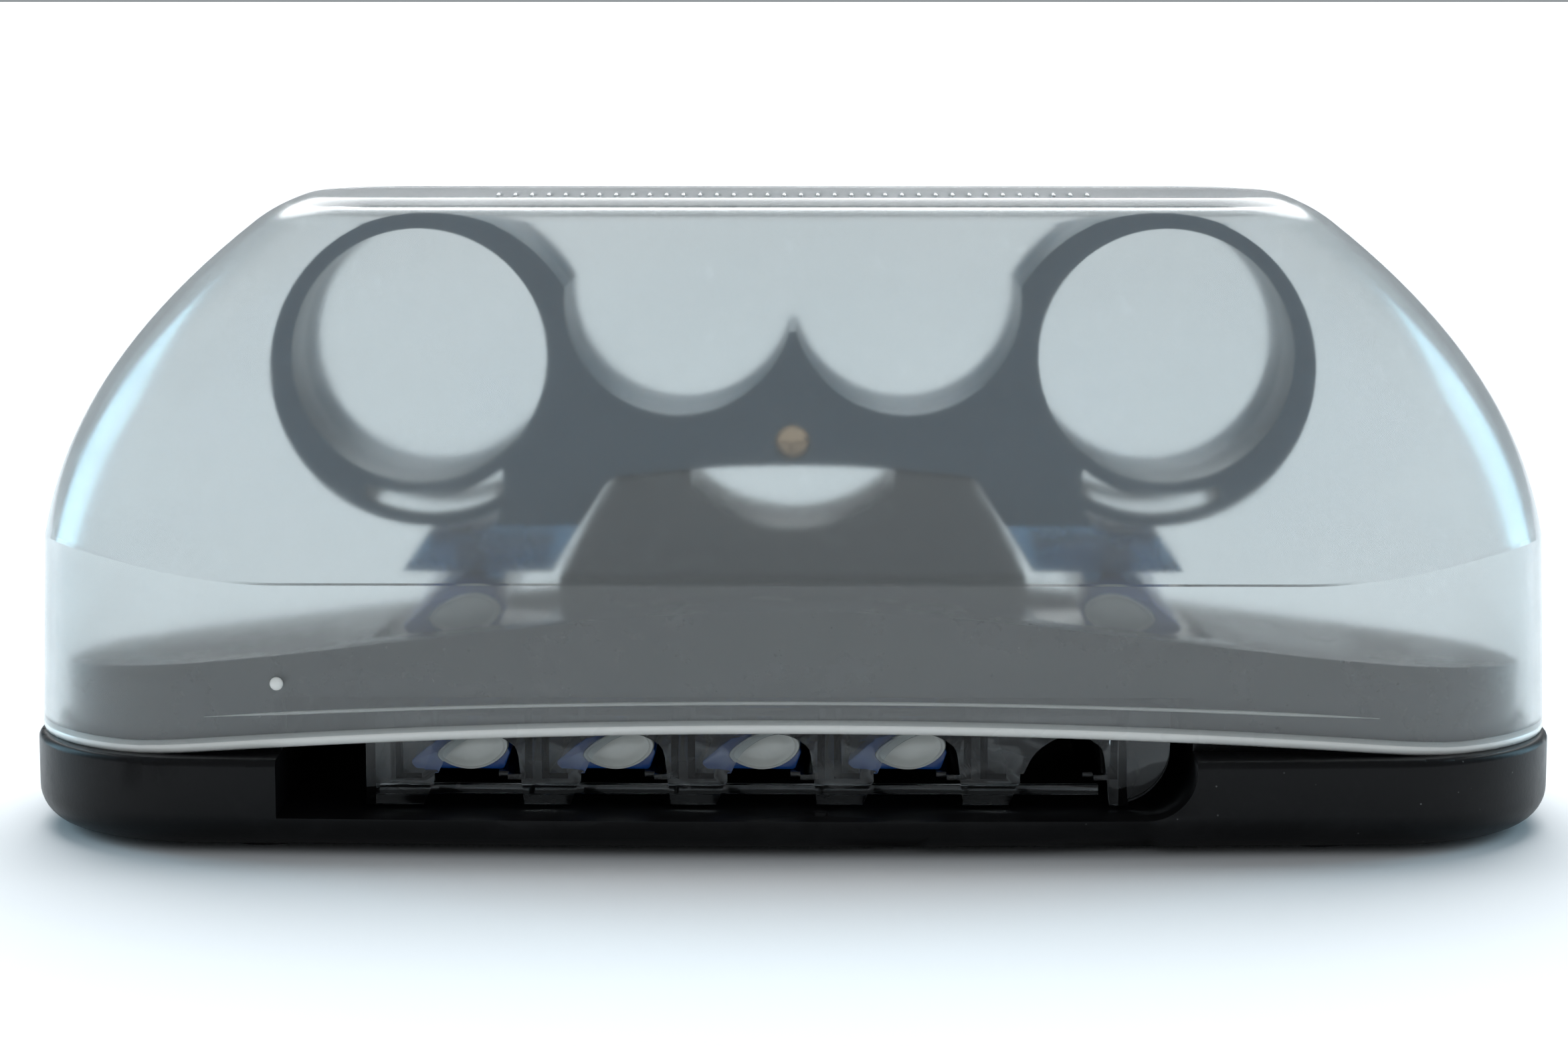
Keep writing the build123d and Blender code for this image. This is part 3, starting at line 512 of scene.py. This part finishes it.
def make_lid():
    """Closed shell of the lid with a rounded lower rim."""
    edit = bmesh.new()
    outer = wall_rings(0.0, LID_TOP, LID_TOP_ROUND)
    inner = wall_rings(LID_WALL, LID_TOP - LID_WALL, LID_TOP_ROUND - LID_WALL)
    outer_rows = loft(edit, outer)
    inner_rows = loft(edit, inner, flip=True)
    edit.faces.new(outer_rows[-1])
    edit.faces.new(list(reversed(inner_rows[-1])))
    rim = [[edit.verts.new(a.co.lerp(b.co, share) - Vector((0, 0, drop * MM)))
            for a, b in zip(outer_rows[0], inner_rows[0])]
           for share, drop in RIM_DROPS]
    rows = [outer_rows[0], *rim, inner_rows[0]]
    for low, high in zip(rows, rows[1:]):
        for i in range(len(low)):
            j = (i + 1) % len(low)
            edit.faces.new((low[j], low[i], high[i], high[j]))
    bmesh.ops.recalc_face_normals(edit, faces=edit.faces)
    made = link_object("frosted_lid", mesh_from_bmesh("frosted_lid", edit), lid_frost)
    smooth_by_angle(made.data, 13.0)
    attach(made, "lid")
    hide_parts("lid")


def milky_rim():
    """Thicker, whiter plastic of the lid's lower edge and its gate mark."""
    made, tree, shader = blank_material("milky_rim")
    coords = node(tree, "ShaderNodeTexCoord").outputs["Object"]
    clouds = noise(tree, coords, 60.0, 3.0, 0.5)
    tint = mix_colours(tree, clouds.outputs["Fac"], (0.93, 0.93, 0.88), (0.98, 0.98, 0.94))
    tree.links.new(tint, shader.inputs["Base Color"])
    rough = remap(tree, clouds.outputs["Fac"], 0.3, 0.7, 0.2, 0.34)
    tree.links.new(rough, shader.inputs["Roughness"])
    shader.inputs["Subsurface Weight"].default_value = 0.25
    shader.inputs["Subsurface Radius"].default_value = (0.002, 0.002, 0.002)
    shader.inputs["Coat Weight"].default_value = 0.3
    return made


# Line along the lid's lower edge, moulding nub at its left and bead above it (mm)
RIM_RADIUS = 0.78
RIM_LIFT = 0.1
GATE_PLACE = (-55.9, -34.3, 18.5)
GATE_RADIUS = 0.75
BEAD_RADIUS = 0.2
BEAD_HALF = 64.0
BEAD_PLACE = (-32.85, 16.2)
BEAD_DROP = 1.6
BEAD_STEPS = 20
TUBE_TURNS = [2 * math.pi * k / 10 for k in range(10)]


def make_rim(material):
    """Milky line along the lid's lower edge, the bead inside and the gate's nub."""
    middle = lid_ring(LID_LEVELS[0, 0], LID_WALL / 2, arched_edge)
    count = len(middle)
    rings = []
    for i in range(count):
        ahead = (middle[(i + 1) % count] - middle[i - 1]).normalized()
        side = ahead.cross(Vector((0, 0, 1))).normalized()
        up = side.cross(ahead)
        centre = middle[i] + Vector((0, 0, RIM_LIFT))
        rings.append([centre + RIM_RADIUS * (math.cos(turn) * side + math.sin(turn) * up)
                      for turn in TUBE_TURNS])
    edit = bmesh.new()
    loft(edit, rings + [rings[0]])
    bmesh.ops.remove_doubles(edit, verts=edit.verts, dist=1e-7)
    bead = []
    for i in range(2 * BEAD_STEPS + 1):
        share = i / BEAD_STEPS - 1
        place = Vector((BEAD_HALF * share, BEAD_PLACE[0], BEAD_PLACE[1] - BEAD_DROP * share ** 2))
        size = BEAD_RADIUS * min(1.0, 6 * (1.0 - abs(share)) + 0.1)
        bead.append([place + size * Vector((0, math.cos(turn), math.sin(turn)))
                     for turn in TUBE_TURNS])
    ends = loft(edit, bead)
    edit.faces.new(ends[0])
    edit.faces.new(ends[-1])
    nub = bmesh.ops.create_uvsphere(
        edit, u_segments=16, v_segments=8, radius=GATE_RADIUS * MM)["verts"]
    bmesh.ops.scale(edit, verts=nub, vec=(1.0, 0.5, 1.0))
    bmesh.ops.translate(edit, verts=nub, vec=Vector(GATE_PLACE) * MM)
    bmesh.ops.recalc_face_normals(edit, faces=edit.faces)
    made = link_object("lid_rim_line", mesh_from_bmesh("lid_rim_line", edit), material)
    smooth_by_angle(made.data, 60.0)
    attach(made, "lid")


# ------------------------------------------------------------------ repeated pieces
def new_geometry_tree(name, inputs):
    """Geometry Nodes tree with named inputs, each a kind and a value, and a geometry output."""
    tree = bpy.data.node_groups.new(name, "GeometryNodeTree")
    tree.interface.new_socket("Geometry", in_out="OUTPUT", socket_type="NodeSocketGeometry")
    for label, (kind, value) in inputs.items():
        socket = tree.interface.new_socket(label, in_out="INPUT", socket_type="NodeSocket" + kind)
        if value is not None:
            socket.default_value = value
    return tree, tree.nodes.new("NodeGroupInput"), tree.nodes.new("NodeGroupOutput")


def build_row_tree():
    """A row of rounded bars along X: count, pitch and the bar's size are inputs."""
    tree, entry, leave = new_geometry_tree("row_of_bars", {
        "Count": ("Int", 10), "Pitch": ("Vector", (0.001, 0.0, 0.0)),
        "Start": ("Vector", (0.0, 0.0, 0.0)), "Size": ("Vector", (0.001, 0.001, 0.001)),
        "Material": ("Material", None),
    })
    line = tree.nodes.new("GeometryNodeMeshLine")
    tree.links.new(entry.outputs["Count"], line.inputs["Count"])
    tree.links.new(entry.outputs["Start"], line.inputs["Start Location"])
    tree.links.new(entry.outputs["Pitch"], line.inputs["Offset"])
    bar = tree.nodes.new("GeometryNodeMeshUVSphere")
    bar.inputs["Segments"].default_value = 8
    bar.inputs["Rings"].default_value = 6
    bar.inputs["Radius"].default_value = 0.5
    squared = tree.nodes.new("GeometryNodeSetPosition")
    place = tree.nodes.new("GeometryNodeInputPosition")
    stretch = tree.nodes.new("ShaderNodeVectorMath")
    stretch.operation = "MULTIPLY"
    tree.links.new(place.outputs[0], stretch.inputs[0])
    tree.links.new(entry.outputs["Size"], stretch.inputs[1])
    tree.links.new(bar.outputs["Mesh"], squared.inputs["Geometry"])
    tree.links.new(stretch.outputs[0], squared.inputs["Position"])
    copies = tree.nodes.new("GeometryNodeInstanceOnPoints")
    tree.links.new(line.outputs["Mesh"], copies.inputs["Points"])
    tree.links.new(squared.outputs["Geometry"], copies.inputs["Instance"])
    real = tree.nodes.new("GeometryNodeRealizeInstances")
    tree.links.new(copies.outputs["Instances"], real.inputs["Geometry"])
    finish = tree.nodes.new("GeometryNodeSetMaterial")
    tree.links.new(real.outputs["Geometry"], finish.inputs["Geometry"])
    tree.links.new(entry.outputs["Material"], finish.inputs["Material"])
    tree.links.new(finish.outputs["Geometry"], leave.inputs["Geometry"])
    return tree


def build_coil_tree():
    """A helical wire along Z: turns, radius, height and wire radius are inputs."""
    tree, entry, leave = new_geometry_tree("coiled_wire", {
        "Turns": ("Float", 5.0), "Radius": ("Float", 0.001), "Height": ("Float", 0.003),
        "Wire": ("Float", 0.0002), "Material": ("Material", None),
    })
    helix = tree.nodes.new("GeometryNodeCurveSpiral")
    helix.inputs["Resolution"].default_value = 20
    tree.links.new(entry.outputs["Turns"], helix.inputs["Rotations"])
    tree.links.new(entry.outputs["Radius"], helix.inputs["Start Radius"])
    tree.links.new(entry.outputs["Radius"], helix.inputs["End Radius"])
    tree.links.new(entry.outputs["Height"], helix.inputs["Height"])
    ring = tree.nodes.new("GeometryNodeCurvePrimitiveCircle")
    ring.inputs["Resolution"].default_value = 8
    tree.links.new(entry.outputs["Wire"], ring.inputs["Radius"])
    wire = tree.nodes.new("GeometryNodeCurveToMesh")
    wire.inputs["Fill Caps"].default_value = True
    tree.links.new(helix.outputs["Curve"], wire.inputs["Curve"])
    tree.links.new(ring.outputs["Curve"], wire.inputs["Profile Curve"])
    real = tree.nodes.new("GeometryNodeRealizeInstances")
    tree.links.new(wire.outputs["Mesh"], real.inputs["Geometry"])
    finish = tree.nodes.new("GeometryNodeSetMaterial")
    tree.links.new(real.outputs["Geometry"], finish.inputs["Geometry"])
    tree.links.new(entry.outputs["Material"], finish.inputs["Material"])
    tree.links.new(finish.outputs["Geometry"], leave.inputs["Geometry"])
    return tree


ROW_TREE = build_row_tree()
COIL_TREE = build_coil_tree()


def grow(name, tree, material, transform=None, **values):
    """Runs a Geometry Nodes tree on an empty mesh and keeps the plain result."""
    made = link_object(name, bpy.data.meshes.new(name), material)
    modifier = made.modifiers.new("grow", "NODES")
    modifier.node_group = tree
    values["Material"] = material
    for item in tree.interface.items_tree:
        if item.in_out == "INPUT" and item.name in values:
            modifier[item.identifier] = values[item.name]
    apply_modifiers(made)
    if transform:
        made.data.transform(transform)
    for polygon in made.data.polygons:
        polygon.use_smooth = True
    return made


def bar_row(name, body, material, count, pitch, start, size):
    """Row of rounded bars that rides on a body; sizes in mm."""
    made = grow(name, ROW_TREE, material, Count=count, Pitch=Vector(pitch) * MM,
                Start=Vector(start) * MM, Size=Vector(size) * MM)
    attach(made, body)


# ------------------------------------------------------------------------ assembly
RIB_COUNT = 36
RIB_PITCH = 1.9
RIB_SIZE = (1.0, 7.0, 0.9)
RIB_START = (-RIB_PITCH * (RIB_COUNT - 1) / 2, -8.0, LID_TOP - 0.05)

make_lid()
make_rim(milky_rim())
bar_row("lid_grip_ribs", "lid", lid_frost, RIB_COUNT, (RIB_PITCH, 0, 0),
        RIB_START, RIB_SIZE)

refine("base_shell", "case_base", base_black, bevel=0.3, angle=40.0)
refine("cradle_deck", "case_base", deck_black, bevel=0.5, segments=3, angle=40.0)
refine("handle_front", "razor", grip_slate, bevel=0.9, segments=4, angle=40.0)
refine("handle_back", "razor", grip_slate, bevel=0.9, segments=4, angle=40.0)
refine("refill_tray", "refill_tray", tray_clear, bevel=0.12, angle=30.0)
refine("rubber_feet", "case_base", foot_rubber, bevel=0)
refine("base_screws", "case_base", screw_steel, bevel=0.1)
refine("handle_screw", "razor", screw_brass, bevel=0.15)


# End cap: half sizes and depth (mm), and its rise from inner to outer end
CAP_HALF_LENGTH = 3.95
CAP_HALF_HEIGHT = 2.02
CAP_DEPTH = 1.2
CAP_TILT = 0.12
CAP_STEPS = 40
# Profile of an end cap from its rim to its middle: share of the outline, height (mm)
CAP_PROFILE = ((1.0, 0.0), (1.0, 0.7), (0.97, 0.95), (0.91, 1.0), (0.86, 0.84), (0.8, 0.86),
               (0.62, 1.06), (0.36, 1.17), (0.12, 1.2))


def cap_point(turn, share):
    """Point of the egg-shaped outline, tilted upward, scaled towards its middle."""
    along = CAP_HALF_LENGTH * math.cos(turn)
    fullness = 1.0 + 0.16 * math.cos(turn) - 0.1 * math.cos(2 * turn)
    across = CAP_HALF_HEIGHT * math.sin(turn) * fullness
    return along * share, (across + CAP_TILT * along) * share


def make_end_caps(name, body):
    """Satin white egg-shaped caps with a raised rim, on both ends of a cartridge."""
    low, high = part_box(name)
    centre = (low + high) / 2
    facing = 1 if name != "head_right_end_caps" else -1
    edit = bmesh.new()
    for end in (-1, 1):
        root_y = (low.y if end < 0 else high.y) - end * CAP_DEPTH * MM
        rows = []
        for share, height in CAP_PROFILE:
            row = []
            for i in range(CAP_STEPS):
                u, w = cap_point(2 * math.pi * i / CAP_STEPS, share)
                place = (centre.x + facing * u * MM, root_y + end * height * MM, centre.z + w * MM)
                row.append(edit.verts.new(place))
            rows.append(row)
        for low_row, high_row in zip(rows, rows[1:]):
            for i in range(CAP_STEPS):
                j = (i + 1) % CAP_STEPS
                edit.faces.new((low_row[i], low_row[j], high_row[j], high_row[i]))
        edit.faces.new(rows[0])
        edit.faces.new(rows[-1])
    bmesh.ops.recalc_face_normals(edit, faces=edit.faces)
    made = link_object("fine_" + name, mesh_from_bmesh("fine_" + name, edit), cap_white)
    smooth_by_angle(made.data, 40.0)
    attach(made, body)
    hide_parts(name)


FIN_COUNT = 30
FIN_THICKNESS = 0.5
FIN_HEIGHT = 0.4
COIL_TURNS = 5.5
COIL_RADIUS = 1.35
COIL_WIRE = 0.2
COIL_END_GAP = 0.3

for cartridge in CARTRIDGES:
    body = cartridge if cartridge.startswith("head") else "refill_tray"
    refine(f"{cartridge}_housing", body, cartridge_blue, angle=30.0)
    make_end_caps(f"{cartridge}_end_caps", body)
    dress(f"{cartridge}_blades", blade_steel)
    dress(f"{cartridge}_glide_strip", strip_green)
    dress(f"{cartridge}_guard", guard_rubber)
    low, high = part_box(f"{cartridge}_guard")
    low, high = low / MM, high / MM
    fin_pitch = (high.y - low.y - 2 * FIN_THICKNESS) / (FIN_COUNT - 1)
    bar_row(f"{cartridge}_guard_fins", body, guard_rubber, FIN_COUNT,
            (0, fin_pitch, 0), ((low.x + high.x) / 2, low.y + FIN_THICKNESS, low.z),
            (high.x - low.x, FIN_THICKNESS, FIN_HEIGHT))

for side, _ in SIDES:
    refine(f"carrier_{side}", "razor", carrier_blue, bevel=0.35, segments=3, angle=35.0)
    refine(f"head_clip_{side}", f"head_{side}", carrier_blue, bevel=0.15)
    dress(f"pivot_pin_{side}", pin_steel)
    low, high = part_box(f"return_spring_{side}")
    middle = (low + high) / 2
    stand = Matrix.Translation((middle.x, high.y, middle.z)) @ Matrix.Rotation(math.pi / 2, 4, "X")
    coil = grow(f"coil_{side}", COIL_TREE, spring_steel, stand, Turns=COIL_TURNS,
                Radius=COIL_RADIUS * MM, Height=high.y - low.y - COIL_END_GAP * MM,
                Wire=COIL_WIRE * MM)
    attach(coil, "razor")
    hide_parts(f"return_spring_{side}")


# --------------------------------------------------------------- floor, light, camera
def make_floor():
    """Plain pale floor, far larger than the view."""
    edit = bmesh.new()
    bmesh.ops.create_grid(edit, x_segments=1, y_segments=1, size=30.0)
    made, tree, shader = blank_material("pale_floor")
    shader.inputs["Base Color"].default_value = (0.93, 0.935, 0.94, 1.0)
    shader.inputs["Roughness"].default_value = 0.9
    floor = link_object("floor", mesh_from_bmesh("floor", edit), made)


def area_light(name, place, target, size, power, colour):
    """Soft rectangular light aimed at a point."""
    data = bpy.data.lights.new(name, "AREA")
    data.shape = "RECTANGLE"
    data.size, data.size_y = size
    data.energy = power
    data.color = colour
    lamp = bpy.data.objects.new(name, data)
    lamp.location = place
    lamp.rotation_euler = (Vector(target) - Vector(place)).to_track_quat("-Z", "Y").to_euler()
    bpy.context.scene.collection.objects.link(lamp)


def soft_sun(name, strength, turn, spread, colour):
    """Even light from far away; turn is its rotation and spread its width, in degrees."""
    data = bpy.data.lights.new(name, "SUN")
    data.energy = strength
    data.angle = math.radians(spread)
    data.color = colour
    lamp = bpy.data.objects.new(name, data)
    lamp.rotation_euler = [math.radians(t) for t in turn]
    bpy.context.scene.collection.objects.link(lamp)


def make_world():
    """Even pale surroundings."""
    world = bpy.data.worlds.new("studio")
    world.use_nodes = True
    background = world.node_tree.nodes["Background"]
    background.inputs["Color"].default_value = (0.90, 0.955, 1.0, 1.0)
    background.inputs["Strength"].default_value = 0.34
    bpy.context.scene.world = world


CAMERA_PLACE = (2.57, -434.0, 93.0)
CAMERA_DOWN = 8.09
CAMERA_LEFT = 0.48
CAMERA_LENS = 86.0


def make_camera():
    """Camera in front, a little above the lid, looking slightly down."""
    data = bpy.data.cameras.new("camera")
    data.sensor_width = 36.0
    data.lens = CAMERA_LENS
    data.clip_start, data.clip_end = 0.01, 60.0
    camera = bpy.data.objects.new("camera", data)
    camera.location = Vector(CAMERA_PLACE) * MM
    camera.rotation_euler = (math.radians(90.0 - CAMERA_DOWN), 0.0, math.radians(CAMERA_LEFT))
    bpy.context.scene.collection.objects.link(camera)
    bpy.context.scene.camera = camera


RIM_LIGHT_TARGET = (0, 0, 0.04)
RIM_LIGHT_SIZE = (0.5, 0.9)
RIM_LIGHT_POWER = 7.0
RIM_LIGHT_COLOUR = (0.45, 0.8, 1.0)

make_floor()
make_world()
soft_sun("back_sun", 3.6, (42.0, 0.0, 180.0), 60.0, (0.97, 0.985, 1.0))
for side, sign in SIDES:
    area_light(f"{side}_rim", (1.1 * sign, 0.45, 0.35), RIM_LIGHT_TARGET, RIM_LIGHT_SIZE,
               RIM_LIGHT_POWER, RIM_LIGHT_COLOUR)
bpy.context.scene.view_settings.view_transform = "Standard"
make_camera()
